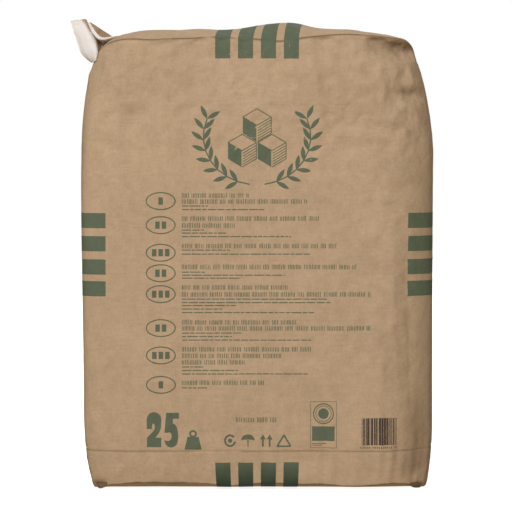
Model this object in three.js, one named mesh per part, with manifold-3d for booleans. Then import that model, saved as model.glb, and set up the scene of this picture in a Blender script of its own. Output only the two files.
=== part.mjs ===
// A filled paper valve sack of sugar, standing on its pasted bottom. Millimetres, +Z up.
// X runs along the width, Y through the thickness, and the printed face looks to -Y.
// The origin is the middle of the flat base.
import * as THREE from "three";
import { mergeVertices } from "three/addons/utils/BufferGeometryUtils.js";
import Module from "manifold-3d";

const wasm = await Module();
wasm.setup();

// Driving sizes
const HALF_WIDTH = 210; // widest half of the filled sack
const FRONT_DEPTH = 77; // belly of the printed face, from the middle plane
const BACK_DEPTH = 74; // belly of the back
const END_DEPTH = 64; // half the width of the pasted bottom
const TOP_DEPTH = 58; // half the width of the pasted top
const CREASE_HEIGHT = 531; // fold between the printed face and the top
const CROWN_RISE = 11.5; // the top bulges this far above its folds
const CROWN_ARCH = 2.4; // how square that bulge is through the thickness
const CROWN_SPAN = { left: [-1.1, -0.65], right: [0.55, 1] }; // where it fades, in half widths
const HUMP = { x: 34, reach: 46, rise: 8 }; // extra bulge right of the middle
const SIDE_RIDGE = 3; // sharp side fold of the flat tube, seen on the narrow sides
const SIDE_RIDGE_REACH = 11;
const SIDE_RIDGE_FROM = 0.9; // share of the half width where that fold begins

// The bottom fold stands off the floor, less so at the two corners
const BASE_EDGE = 7.6;
const BASE_TILT = 1.8; // lower by this much to the right end, higher to the left
const BASE_FLAT = { across: 0.95, deep: 0.4 }; // the paper lies on the floor up to these shares
const BASE_CORNER = { from: 0.87, to: 0.95, rest: 0.5 }; // share of the rise that is left there
const BASE_CURVE = { long: 1.6, short: 2 }; // how late the paper turns up to the long and the short folds

// A line pressed across the faces above the bottom
const PRESSED_LINE = { height: 47, reach: 7, depth: 1.2 };

// Shoulders at the two top corners, where the sides turn into the top
const RIGHT_SHOULDER = { height: 507.5, from: 393.5, inset: 20, pull: 1.6, drop: 23.5, turn: 35 };
const LEFT_SHOULDER = { height: 503.5, from: 340, inset: 15, pull: 3, drop: 27.5, turn: 14 };

// Bottom corners, where the sides pull in above the base, and the lean of the lower left side
const RIGHT_FOOT = { inset: 6.2, height: 68.5, turn: 1.6, lean: 0 };
const LEFT_FOOT = { inset: 10.8, height: 83.5, turn: 1.8, lean: 2.4 };
const LEAN_FADES = [83.5, 363.5];

// The front fold of the top dips and rises along its length
const FOLD_WAVES = [
  { x: 28, reach: 24, dip: 3.5 },
  { x: 118, reach: 50, dip: -5 },
  { x: -55, reach: 24, dip: -2 },
  { x: -137, reach: 20, dip: 1.5 },
];
const FOLD_WAVES_END = [0.75, 0.95];

// The bottom fold is uneven along its length
const BASE_WAVES = [
  { turns: 9, phase: 0, rise: 1.1 },
  { turns: 17, phase: 1, rise: 0.8 },
];

// Grid of the body's six faces, and how much closer its lines stand near the edges
const GRID = { columns: 34, depthRows: 12, heightRows: 40 };
const CROWDING = { across: 0.3, deep: 0.2, up: 0.33 };

// Paper pieces at the filling valve
const SLEEVE_THICKNESS = 1.0;
const SLEEVE_CLEARANCE = 0.45;
const SLEEVE_GRID = { columns: 12, rows: 10 };
const EAR_THICKNESS = 1.8;
const EAR_GRID = { columns: 3, rows: 8 };

const { abs, max, min, sin, cos, exp, hypot, sign } = Math;

const ramp = (low, high, x) => min(1, max(0, (x - low) / (high - low)));
const smooth = (low, high, x) => THREE.MathUtils.smoothstep(x, low, high);
const bell = (x, reach) => exp(-((x / reach) ** 2));
const sum = (values) => values.reduce((total, value) => total + value, 0);

// A smooth curve through [place, value] pairs.
function through(pairs, place) {
  const places = pairs.map((pair) => pair[0]);
  const values = pairs.map((pair) => pair[1]);
  const curve = new THREE.CubicInterpolant(places, values, 1);
  return curve.evaluate(min(max(place, places[0]), places.at(-1)))[0];
}

// Half the thickness of the printed face's side and of the back, by height
const FRONT_PROFILE = [
  [0, END_DEPTH],
  [30, 0.91 * FRONT_DEPTH],
  [80, 0.975 * FRONT_DEPTH],
  [190, FRONT_DEPTH],
  [350, 0.98 * FRONT_DEPTH],
  [462, 0.9 * FRONT_DEPTH],
  [CREASE_HEIGHT, TOP_DEPTH],
];
const BACK_PROFILE = [
  [0, END_DEPTH],
  [60, 0.95 * BACK_DEPTH],
  [170, BACK_DEPTH],
  [340, 0.96 * BACK_DEPTH],
  [462, 0.88 * BACK_DEPTH],
  [CREASE_HEIGHT, TOP_DEPTH],
];

// How square the plan section is, by height: the printed face is nearly flat to its edges
const FRONT_SQUARENESS = [
  [0, 9],
  [60, 10],
  [200, 12],
  [400, 12],
  [492, 9],
  [CREASE_HEIGHT, 7],
];
const BACK_SQUARENESS = [
  [0, 7],
  [60, 5],
  [200, 4.2],
  [400, 4.2],
  [492, 4.8],
  [CREASE_HEIGHT, 6],
];

// Share of the depth that each face loses at its side edge, by height, and how that loss sets in
const TURNS = {
  frontRight: [[0, 0.3], [60, 0.42], [200, 0.34], [400, 0.34], [492, 0.3], [CREASE_HEIGHT, 0.16]],
  frontLeft: [[0, 0.08], [200, 0.04], [CREASE_HEIGHT, 0.08]],
  back: [[0, 0.15], [100, 0.4], [400, 0.4], [CREASE_HEIGHT, 0.2]],
};
const TURN_FROM = 0.7;
const TURN_POWER = 1.5;

// Where the dents of the walls fade out: at both ends, and from the faces round to the narrow sides
const WALL_ENDS = { bottom: [-1, -0.97], top: [0.985, 1] };
const FACING = [0.35, 0.9];
const DENTS_SET_IN = [BASE_EDGE, 5 * BASE_EDGE]; // heights above the floor

// Places on the cube that the body is shaped from, and how close two points are to count as one
const ON_WALL = 0.999;
const LEAST_RIM = 1e-6;
const SAME_POINT = 1e-4;

function turned(across, front, level) {
  const side = across > 0 ? "frontRight" : "frontLeft";
  const loss = through(TURNS[front ? side : "back"], level);
  return loss * ramp(TURN_FROM, 1, abs(across)) ** TURN_POWER;
}

function halfWidth(z, right) {
  const shoulder = right ? RIGHT_SHOULDER : LEFT_SHOULDER;
  const foot = right ? RIGHT_FOOT : LEFT_FOOT;
  const level = min(z, shoulder.height);
  const rise = ramp(shoulder.from, shoulder.height, level);
  const topInset = shoulder.inset * rise ** shoulder.pull;
  const footInset = foot.inset * max(0, 1 - level / foot.height) ** foot.turn;
  const lean = foot.lean * (1 - smooth(...LEAN_FADES, level));
  return HALF_WIDTH - SIDE_RIDGE - topInset - footInset - lean;
}

// Height of the top at a share of the half width and of the half depth
function topHeight(across, deep) {
  const shoulder = across > 0 ? RIGHT_SHOULDER : LEFT_SHOULDER;
  const x = across * HALF_WIDTH;
  const dip = sum(FOLD_WAVES.map((wave) => wave.dip * bell(x - wave.x, wave.reach)));
  const fold = CREASE_HEIGHT - dip * deep ** 2 * (1 - smooth(...FOLD_WAVES_END, abs(across)));
  const hump = HUMP.rise * bell(x - HUMP.x, HUMP.reach);
  const span = smooth(...CROWN_SPAN.left, across) * (1 - smooth(...CROWN_SPAN.right, across));
  const arch = 1 - abs(deep) ** CROWN_ARCH;
  return fold + (CROWN_RISE + hump) * span * arch - shoulder.drop * abs(across) ** shoulder.turn;
}

// Height of the bottom: flat under the load, rising to the folds along its edges
function bottomHeight(across, deep) {
  const wave = sum(BASE_WAVES.map((part) => part.rise * sin(part.turns * across + part.phase)));
  const corner = smooth(BASE_CORNER.from, BASE_CORNER.to, abs(across));
  const edge = (BASE_EDGE - BASE_TILT * across + wave) * THREE.MathUtils.lerp(1, BASE_CORNER.rest, corner);
  const long = ramp(BASE_FLAT.deep, 1, abs(deep)) ** BASE_CURVE.long;
  const short = ramp(BASE_FLAT.across, 1, abs(across)) ** BASE_CURVE.short;
  return edge * max(long, short);
}

// Broad dents and swellings of the filled paper: place, reach, depth (inwards) and turn of each
const FRONT_DENTS = [
  { x: 166, z: 516, rx: 32, rz: 8.5, depth: 13, turn: -0.22 },
  { x: 181, z: 465, rx: 20, rz: 8, depth: 6.5, turn: 0.1 },
  { x: 150, z: 437, rx: 30, rz: 26, depth: 3, turn: 0.3 },
  { x: -60, z: 492, rx: 70, rz: 22, depth: 2.5, turn: 0.1 },
  { x: -150, z: 462, rx: 26, rz: 44, depth: 3, turn: -0.3 },
  { x: 60, z: 40, rx: 34, rz: 16, depth: 2.5, turn: 0.2 },
  { x: -80, z: 34, rx: 30, rz: 14, depth: 2, turn: -0.3 },
  { x: 160, z: 120, rx: 20, rz: 60, depth: 3, turn: -0.15 },
  { x: 115, z: 60, rx: 70, rz: 24, depth: -2.2, turn: 0 },
];
const BACK_DENTS = [
  { x: -140, z: 492, rx: 40, rz: 16, depth: 6, turn: 0.3 },
  { x: 120, z: 462, rx: 26, rz: 40, depth: 4, turn: -0.4 },
  { x: 10, z: 496, rx: 60, rz: 18, depth: 4, turn: 0.05 },
  { x: -120, z: 60, rx: 40, rz: 20, depth: 3, turn: -0.2 },
  { x: 90, z: 80, rx: 36, rz: 30, depth: 2.5, turn: 0.4 },
  { x: 30, z: 300, rx: 50, rz: 90, depth: 2, turn: 0.2 },
];

// A slow unevenness of the whole sheet, in the same measures
const RIPPLE = { depth: 0.8, x: 31, z: 43, slant: 90, backPhase: 2 };

// How far the paper stands in from the plain form at a place on the front or the back
function hollow(x, z, front) {
  const phase = front ? 0 : RIPPLE.backPhase;
  let depth = RIPPLE.depth * sin(x / RIPPLE.x + phase) * sin(z / RIPPLE.z + x / RIPPLE.slant);
  for (const dent of front ? FRONT_DENTS : BACK_DENTS) {
    const c = cos(dent.turn);
    const s = sin(dent.turn);
    const dx = (x - dent.x) * c + (z - dent.z) * s;
    const dz = (z - dent.z) * c - (x - dent.x) * s;
    depth += dent.depth * bell(hypot(dx / dent.rx, dz / dent.rz), 1);
  }
  const pressed = PRESSED_LINE.depth * bell(z - PRESSED_LINE.height, PRESSED_LINE.reach);
  return (depth + pressed) * smooth(...DENTS_SET_IN, z);
}

// The body's point for a point of the cube from -1 to 1
function bodyPoint(cube) {
  const [u, v, w] = cube;
  const rim = max(abs(u), abs(v), LEAST_RIM);
  const round = (height) => {
    const n = through(v < 0 ? FRONT_SQUARENESS : BACK_SQUARENESS, height);
    return max(abs(u / rim) ** n + abs(v / rim) ** n, 1) ** (-1 / n);
  };
  const topRound = round(CREASE_HEIGHT);
  const bottomRound = round(0);
  const top = topHeight(u * topRound, v * topRound);
  const bottom = bottomHeight(u * bottomRound, v * bottomRound);
  const z = THREE.MathUtils.lerp(bottom, top, (w + 1) / 2);
  const level = min(z, CREASE_HEIGHT);
  const share = round(level);
  const profile = through(v < 0 ? FRONT_PROFILE : BACK_PROFILE, level);
  const across = u * share;
  const deep = v * share;
  const x = halfWidth(level, u > 0) * across;
  const y = profile * deep * (1 - turned(across, v < 0, level));
  const wall = rim > ON_WALL ? smooth(...WALL_ENDS.bottom, w) * (1 - smooth(...WALL_ENDS.top, w)) : 0;
  const facing = smooth(...FACING, abs(deep)) * wall;
  const ridge = SIDE_RIDGE * sign(u) * smooth(SIDE_RIDGE_FROM, 1, abs(across)) * bell(y, SIDE_RIDGE_REACH);
  const sunk = hollow(x, z, v < 0) * facing;
  return new THREE.Vector3(x + ridge, y - sign(v) * sunk, z);
}

// Places grid lines closer together towards both ends of -1 to 1.
const crowd = (t, much) => t * (1 + much * (1 - t * t));

function bodyGeometry() {
  const box = new THREE.BoxGeometry(2, 2, 2, GRID.columns, GRID.depthRows, GRID.heightRows);
  const places = box.getAttribute("position");
  for (let i = 0; i < places.count; i++) {
    const u = crowd(places.getX(i), CROWDING.across);
    const v = crowd(places.getY(i), CROWDING.deep);
    const w = crowd(places.getZ(i), CROWDING.up);
    const point = bodyPoint([u, v, w]);
    places.setXYZ(i, point.x, point.y, point.z);
  }
  return box;
}

// A sheet of paper as a solid: a grid of points over the rails, thickened both ways and grown by a border.
function sheetGeometry(rails, { columns, rows }, thickness, border = 0) {
  const curves = rails.map((rail) => new THREE.CatmullRomCurve3(rail.map((p) => new THREE.Vector3(...p))));
  const grid = [];
  for (let j = 0; j <= rows; j++) {
    const across = new THREE.CatmullRomCurve3(curves.map((curve) => curve.getPoint(j / rows)));
    for (let i = 0; i <= columns; i++) grid.push(across.getPoint(i / columns));
  }
  const at = (i, j) => grid[min(max(j, 0), rows) * (columns + 1) + min(max(i, 0), columns)];
  const places = [];
  for (const side of [1, -1]) {
    for (let j = 0; j <= rows; j++) {
      for (let i = 0; i <= columns; i++) {
        const along = at(i + 1, j).clone().sub(at(i - 1, j));
        const up = at(i, j + 1).clone().sub(at(i, j - 1));
        const normal = along.clone().cross(up).normalize();
        const outAlong = border * ((i === columns) - (i === 0));
        const outUp = border * ((j === rows) - (j === 0));
        const place = at(i, j).clone().addScaledVector(normal, (side * thickness) / 2);
        place.addScaledVector(along.normalize(), outAlong).addScaledVector(up.normalize(), outUp);
        places.push(...place.toArray());
      }
    }
  }
  const layer = (columns + 1) * (rows + 1);
  const id = (i, j, back) => j * (columns + 1) + i + (back ? layer : 0);
  const faces = [];
  const quad = (a, b, c, d) => faces.push(a, b, c, a, c, d);
  for (let j = 0; j < rows; j++) {
    for (let i = 0; i < columns; i++) {
      quad(id(i, j), id(i + 1, j), id(i + 1, j + 1), id(i, j + 1));
      quad(id(i, j, 1), id(i, j + 1, 1), id(i + 1, j + 1, 1), id(i + 1, j, 1));
    }
  }
  for (let i = 0; i < columns; i++) {
    quad(id(i, 0, 1), id(i + 1, 0, 1), id(i + 1, 0), id(i, 0));
    quad(id(i, rows), id(i + 1, rows), id(i + 1, rows, 1), id(i, rows, 1));
  }
  for (let j = 0; j < rows; j++) {
    quad(id(0, j), id(0, j + 1), id(0, j + 1, 1), id(0, j, 1));
    quad(id(columns, j, 1), id(columns, j + 1, 1), id(columns, j + 1), id(columns, j));
  }
  const geometry = new THREE.BufferGeometry();
  geometry.setAttribute("position", new THREE.Float32BufferAttribute(places, 3));
  geometry.setIndex(faces);
  return geometry;
}

// A closed geometry as a manifold-3d solid, and back.
function solidOf(geometry) {
  const plain = geometry.clone().deleteAttribute("normal").deleteAttribute("uv");
  const merged = mergeVertices(plain, SAME_POINT);
  return new wasm.Manifold(
    new wasm.Mesh({
      numProp: 3,
      vertProperties: new Float32Array(merged.getAttribute("position").array),
      triVerts: new Uint32Array(merged.getIndex().array),
    }),
  );
}

function geometryOf(solid) {
  const mesh = solid.getMesh();
  const geometry = new THREE.BufferGeometry();
  geometry.setAttribute("position", new THREE.BufferAttribute(mesh.vertProperties, 3));
  geometry.setIndex(new THREE.BufferAttribute(mesh.triVerts, 1));
  geometry.computeVertexNormals();
  return geometry;
}

function largestPiece(solid) {
  return solid.decompose().reduce((best, piece) => (piece.volume() > best.volume() ? piece : best));
}

// The white inner sleeve of the valve, pulled out of the top left corner: rails from its root to its tip.
const SLEEVE_RAILS = [
  [[-190.5, -30, 503.5], [-202.5, -34, 509.5], [-210.5, -35, 520.5], [-215, -34, 533.5], [-220.5, -31, 552.5]],
  [[-187.5, -34, 505.5], [-196.5, -42, 514.5], [-203.5, -44, 525.5], [-208.5, -42, 539.5], [-213.5, -36, 555]],
  [[-182, -33, 506.5], [-188.5, -41, 517.5], [-191.5, -43, 527.5], [-197.5, -41, 538.5], [-206, -35, 555.5]],
  [[-178, -20, 510.5], [-184, -19, 519.5], [-188.5, -21, 530.5], [-196.5, -27, 541.5], [-203.5, -30, 553.5]],
  [[-167, -27, 526.5], [-177, -33, 529], [-187.5, -34, 532], [-194.5, -33, 540.5], [-200.5, -31, 552.5]],
  [[-166, -30, 533.5], [-175, -35, 533.5], [-185.5, -36, 536], [-191.5, -34.5, 544.5], [-198, -32, 554.5]],
];

// The brown outer paper of the same corner, behind the sleeve
const EAR_RAILS = [
  [[-148, -8, 522.5], [-170, -14, 524.5], [-187.5, -22, 532.5], [-196.5, -26, 546.5]],
  [[-148, -2, 533.5], [-170, -8, 536], [-185, -17, 544.5], [-197, -25, 551.5]],
];

// The hollow behind the printed face where the sleeve comes out
const MOUTH = { x: -182, y: -30, z: 522.5, rx: 14, ry: 13, rz: 13 };
const MOUTH_GRID = [16, 10];

function mouthGeometry() {
  const ball = new THREE.SphereGeometry(1, ...MOUTH_GRID);
  ball.scale(MOUTH.rx, MOUTH.ry, MOUTH.rz).translate(MOUTH.x, MOUTH.y, MOUTH.z);
  return ball;
}

function sackSolid() {
  const ear = solidOf(sheetGeometry(EAR_RAILS, EAR_GRID, EAR_THICKNESS));
  const room = SLEEVE_THICKNESS + 2 * SLEEVE_CLEARANCE;
  const slot = solidOf(sheetGeometry(SLEEVE_RAILS, SLEEVE_GRID, room, 2 * SLEEVE_CLEARANCE));
  const body = solidOf(bodyGeometry()).subtract(solidOf(mouthGeometry()));
  return largestPiece(body.add(ear).subtract(slot));
}

const kraft = new THREE.MeshStandardMaterial({ color: 0xb39a7a, roughness: 0.85, metalness: 0 });
const bleached = new THREE.MeshStandardMaterial({ color: 0xe4dad0, roughness: 0.8, metalness: 0 });

function named(name, geometry, material) {
  const mesh = new THREE.Mesh(geometry, material);
  mesh.name = name;
  return mesh;
}

const bag = new THREE.Group();
bag.add(named("sack", geometryOf(sackSolid()), kraft));
bag.add(named("valve_sleeve", sheetGeometry(SLEEVE_RAILS, SLEEVE_GRID, SLEEVE_THICKNESS), bleached));

export default bag;
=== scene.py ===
import math

import bpy
import numpy as np
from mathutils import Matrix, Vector, noise


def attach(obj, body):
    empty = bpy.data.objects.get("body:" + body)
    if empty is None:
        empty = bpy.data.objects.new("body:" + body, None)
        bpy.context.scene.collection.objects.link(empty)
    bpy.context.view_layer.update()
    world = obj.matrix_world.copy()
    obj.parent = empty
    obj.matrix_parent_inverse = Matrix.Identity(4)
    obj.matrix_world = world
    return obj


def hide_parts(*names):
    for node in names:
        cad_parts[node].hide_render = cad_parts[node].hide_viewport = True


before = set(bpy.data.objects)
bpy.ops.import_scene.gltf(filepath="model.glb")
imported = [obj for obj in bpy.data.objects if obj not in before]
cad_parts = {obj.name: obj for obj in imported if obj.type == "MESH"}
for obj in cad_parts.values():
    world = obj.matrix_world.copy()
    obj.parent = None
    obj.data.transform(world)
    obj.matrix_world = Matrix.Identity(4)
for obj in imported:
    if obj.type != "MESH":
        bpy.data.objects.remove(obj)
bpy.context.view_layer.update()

MM = 0.001

# Sizes of the sack, the same as those of the solids
HALF_WIDTH = 210
FRONT_DEPTH = 77
BACK_DEPTH = 74
END_DEPTH = 64
TOP_DEPTH = 58
CREASE_HEIGHT = 531
CROWN_RISE = 11.5
CROWN_ARCH = 2.4
CROWN_LEFT = (-1.1, -0.65)
CROWN_RIGHT = (0.55, 1)
HUMP_X, HUMP_REACH, HUMP_RISE = 34, 46, 8
SIDE_RIDGE = 3  # the sharp side fold of the flat tube
SIDE_RIDGE_REACH = 9
SIDE_RIDGE_FROM = 0.9  # share of the half width where that fold begins
BASE_EDGE = 7.6  # the bottom fold stands this far off the floor
BASE_TILT = 1.8
BASE_FLAT_ACROSS = 0.95
BASE_FLAT_DEEP = 0.4
BASE_CORNER = (0.87, 0.95)
BASE_CORNER_REST = 0.5
BASE_CURVE_LONG = 1.6
BASE_CURVE_SHORT = 2
PRESSED_LINE = 47
FOLD_WAVES = [(28, 24, 3.5), (118, 50, -5), (-55, 24, -2), (-137, 20, 1.5)]  # x, reach, dip
FOLD_WAVES_END = (0.75, 0.95)
BASE_WAVES = [(9, 0, 1.1), (17, 1, 0.8)]  # turns, phase, rise
RIGHT = {"height": 507.5, "from": 393.5, "inset": 20, "pull": 1.6, "drop": 23.5, "turn": 35,
         "foot": 6.2, "foot_height": 68.5, "foot_turn": 1.6, "lean": 0}
LEFT = {"height": 503.5, "from": 340, "inset": 15, "pull": 3, "drop": 27.5, "turn": 14,
        "foot": 10.8, "foot_height": 83.5, "foot_turn": 1.8, "lean": 2.4}
LEAN_FADES = (83.5, 363.5)
FRONT_PROFILE = [(0, END_DEPTH), (30, 0.91 * FRONT_DEPTH), (80, 0.975 * FRONT_DEPTH), (190, FRONT_DEPTH),
                 (350, 0.98 * FRONT_DEPTH), (462, 0.9 * FRONT_DEPTH), (CREASE_HEIGHT, TOP_DEPTH)]
BACK_PROFILE = [(0, END_DEPTH), (60, 0.95 * BACK_DEPTH), (170, BACK_DEPTH), (340, 0.96 * BACK_DEPTH),
                (462, 0.88 * BACK_DEPTH), (CREASE_HEIGHT, TOP_DEPTH)]
FRONT_SQUARENESS = [(0, 9), (60, 10), (200, 12), (400, 12), (492, 9), (CREASE_HEIGHT, 7)]
BACK_SQUARENESS = [(0, 7), (60, 5), (200, 4.2), (400, 4.2), (492, 4.8), (CREASE_HEIGHT, 6)]

# Share of the depth that each face loses at its side edge, by height, and how that loss sets in
TURN_FRONT_RIGHT = [(0, 0.3), (60, 0.42), (200, 0.34), (400, 0.34), (492, 0.3), (CREASE_HEIGHT, 0.16)]
TURN_FRONT_LEFT = [(0, 0.08), (200, 0.04), (CREASE_HEIGHT, 0.08)]
TURN_BACK = [(0, 0.15), (100, 0.4), (400, 0.4), (CREASE_HEIGHT, 0.2)]
TURN_FROM = 0.7
TURN_POWER = 1.5

# Broad dents: x, z, reach along x, reach along z, depth, turn
FRONT_DENTS = [
    (166, 518, 32, 8.5, 13, -0.22), (181, 465, 20, 8, 6.5, 0.1), (150, 437, 30, 26, 3, 0.3),
    (-60, 492, 70, 22, 2.5, 0.1), (-150, 462, 26, 44, 3, -0.3), (60, 40, 34, 16, 2.5, 0.2),
    (-80, 34, 30, 14, 2, -0.3), (160, 120, 20, 60, 3, -0.15), (115, 60, 70, 24, -2.2, 0),
]
BACK_DENTS = [
    (-140, 492, 40, 16, 6, 0.3), (120, 462, 26, 40, 4, -0.4), (10, 496, 60, 18, 4, 0.05),
    (-120, 60, 40, 20, 3, -0.2), (90, 80, 36, 30, 2.5, 0.4), (30, 300, 50, 90, 2, 0.2),
]

# A slow unevenness of the whole sheet
RIPPLE_DEPTH = 0.8
RIPPLE_LENGTHS = (31, 43, 90)  # along x, along z, and how slowly it slants
RIPPLE_BACK_PHASE = 2

# Where the dents fade out: near the floor, at both ends, and from the faces round to the narrow sides
DENTS_SET_IN = (BASE_EDGE, 5 * BASE_EDGE)
WALL_BOTTOM = (0, 0.015)  # shares of the height
WALL_TOP = (0.9925, 1)
FACING = (0.35, 0.9)  # shares of the half depth

# Heights over which the uneven folds at the bottom and top fade into level rows
BOTTOM_FADE = 45
TOP_FADE = 80

# The box that the sack is shaped from
ON_WALL = 0.9999  # places this far out are on its walls
LEAST_RIM = 1e-6
FINENESS = 4000  # places from which the grid's rows are worked out
PLACE_ROUNDS = 5  # rounds of working out the row of a height
GRID_ACROSS = 129
# The grid's step and its finer places, from front to back and upwards
GRID_DEEP = (2.9, [(0, 5, 1.1), (END_DEPTH, 4, 1.3), (2 * END_DEPTH, 5, 1.1)])
GRID_UP = (3.4, [(0, 7, 1.1), (PRESSED_LINE, 5, 0.9), (CREASE_HEIGHT, 9, 1.1)])

# The camera's place and what its frame holds
CAMERA_DISTANCE = 3.2
CAMERA_ELEVATION = math.radians(2.5)
CAMERA_AIM = Vector((-0.0012, 0, 0.2735))
FRAME_WIDTH = 0.6127
SENSOR_MM = 36


def ramp(low, high, x):
    return np.clip((x - low) / (high - low), 0, 1)


def smooth(low, high, x):
    t = ramp(low, high, x)
    return t * t * (3 - 2 * t)


def bell(x, reach):
    return np.exp(-((x / reach) ** 2))


def through(pairs, x):
    """A smooth curve through (place, value) pairs."""
    places, values = np.array(pairs, float).T
    slopes = np.gradient(values, places)
    x = np.clip(x, places[0], places[-1])
    at = np.clip(np.searchsorted(places, x, side="right") - 1, 0, len(places) - 2)
    step = places[at + 1] - places[at]
    t = (x - places[at]) / step
    return (
        values[at] * (1 + 2 * t) * (1 - t) ** 2
        + values[at + 1] * t**2 * (3 - 2 * t)
        + step * (slopes[at] * t * (1 - t) ** 2 - slopes[at + 1] * t**2 * (1 - t))
    )


def levels(length, step, fine_places):
    """Places from 0 to length about step apart, and closer around the fine places (place, reach, step)."""
    x = np.linspace(0, length, FINENESS)
    density = np.full_like(x, 1 / step)
    for place, reach, fine_step in fine_places:
        density += (1 / fine_step - 1 / step) * bell(x - place, reach)
    total = np.concatenate([[0], np.cumsum((density[1:] + density[:-1]) / 2 * np.diff(x))])
    count = int(round(total[-1]))
    return np.interp(np.linspace(0, total[-1], count + 1), total, x)


# The form of the sack

def pick(x, key):
    return np.where(x > 0, RIGHT[key], LEFT[key])


def half_width(level, u):
    capped = np.minimum(level, pick(u, "height"))
    rise = np.clip((capped - pick(u, "from")) / (pick(u, "height") - pick(u, "from")), 0, 1)
    top = pick(u, "inset") * rise ** pick(u, "pull")
    foot = pick(u, "foot") * np.maximum(0, 1 - capped / pick(u, "foot_height")) ** pick(u, "foot_turn")
    lean = pick(u, "lean") * (1 - smooth(*LEAN_FADES, capped))
    return HALF_WIDTH - SIDE_RIDGE - top - foot - lean


def top_height(across, deep):
    x = across * HALF_WIDTH
    dip = sum(depth * bell(x - place, reach) for place, reach, depth in FOLD_WAVES)
    fold = CREASE_HEIGHT - dip * deep**2 * (1 - smooth(*FOLD_WAVES_END, abs(across)))
    hump = HUMP_RISE * bell(x - HUMP_X, HUMP_REACH)
    span = smooth(*CROWN_LEFT, across) * (1 - smooth(*CROWN_RIGHT, across))
    arch = 1 - abs(deep) ** CROWN_ARCH
    shoulder = pick(across, "drop") * abs(across) ** pick(across, "turn")
    return fold + (CROWN_RISE + hump) * span * arch - shoulder


def bottom_height(across, deep):
    wave = sum(rise * np.sin(turns * across + phase) for turns, phase, rise in BASE_WAVES)
    corner = smooth(*BASE_CORNER, abs(across))
    edge = (BASE_EDGE - BASE_TILT * across + wave) * (1 - (1 - BASE_CORNER_REST) * corner)
    long_side = ramp(BASE_FLAT_DEEP, 1, abs(deep)) ** BASE_CURVE_LONG
    short_side = ramp(BASE_FLAT_ACROSS, 1, abs(across)) ** BASE_CURVE_SHORT
    return edge * np.maximum(long_side, short_side)


def turned(across, front, level):
    """Share of the depth that a face loses towards the narrow sides."""
    face = np.where(across > 0, through(TURN_FRONT_RIGHT, level), through(TURN_FRONT_LEFT, level))
    most = np.where(front, face, through(TURN_BACK, level))
    return most * ramp(TURN_FROM, 1, abs(across)) ** TURN_POWER


def rounding(u, v, level):
    """How far a place on the box moves in, as a share, where the plan's corners are rounded."""
    rim = np.maximum(np.maximum(abs(u), abs(v)), LEAST_RIM)
    n = np.where(v < 0, through(FRONT_SQUARENESS, level), through(BACK_SQUARENESS, level))
    return np.maximum(abs(u / rim) ** n + abs(v / rim) ** n, 1) ** (-1 / n)


def hollow(x, z, front):
    """How far the paper stands in from the plain form."""
    phase = np.where(front, 0, RIPPLE_BACK_PHASE)
    along_x, along_z, slant = RIPPLE_LENGTHS
    depth = RIPPLE_DEPTH * np.sin(x / along_x + phase) * np.sin(z / along_z + x / slant)
    for dents, side in ((FRONT_DENTS, front), (BACK_DENTS, ~front)):
        for dent_x, dent_z, reach_x, reach_z, deep, turn in dents:
            c, s = math.cos(turn), math.sin(turn)
            along = (x - dent_x) * c + (z - dent_z) * s
            up = (z - dent_z) * c - (x - dent_x) * s
            depth = depth + side * deep * bell(np.hypot(along / reach_x, up / reach_z), 1)
    return depth * smooth(*DENTS_SET_IN, z)


def on_wall(u, v):
    return np.maximum(abs(u), abs(v)) > ON_WALL


def wall_height(u, v, t):
    """Height of a place on the walls: the folds' unevenness fades out towards the middle."""
    level = CREASE_HEIGHT * t
    high, low = rounding(u, v, CREASE_HEIGHT), rounding(u, v, 0)
    top = top_height(u * high, v * high) - CREASE_HEIGHT
    bottom = bottom_height(u * low, v * low)
    low_share = 1 - smooth(0, BOTTOM_FADE, level)
    high_share = smooth(-TOP_FADE, 0, level - CREASE_HEIGHT)
    return level + bottom * low_share + top * high_share


def sack_points(u, v, t):
    """Points in millimetres for places on a box: u and v from -1 to 1, t from 0 (base) to 1 (top)."""
    wall = on_wall(u, v)
    high, low = rounding(u, v, CREASE_HEIGHT), rounding(u, v, 0)
    cap = np.where(t > 0.5, top_height(u * high, v * high), bottom_height(u * low, v * low))
    z = np.where(wall, wall_height(u, v, t), cap)
    level = np.minimum(z, CREASE_HEIGHT)
    share = rounding(u, v, level)
    across, deep = u * share, v * share
    profile = np.where(v < 0, through(FRONT_PROFILE, level), through(BACK_PROFILE, level))
    x = half_width(level, u) * across
    y = profile * deep * (1 - turned(across, v < 0, level))
    inside = wall * smooth(*WALL_BOTTOM, t) * (1 - smooth(*WALL_TOP, t))
    facing = smooth(*FACING, abs(deep)) * inside
    ridge = np.sign(u) * smooth(SIDE_RIDGE_FROM, 1, abs(across)) * np.exp(-abs(y) / SIDE_RIDGE_REACH)
    y = y - np.sign(v) * hollow(x, z, v < 0) * facing
    return np.stack([x + SIDE_RIDGE * ridge, y, z], -1)


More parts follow.
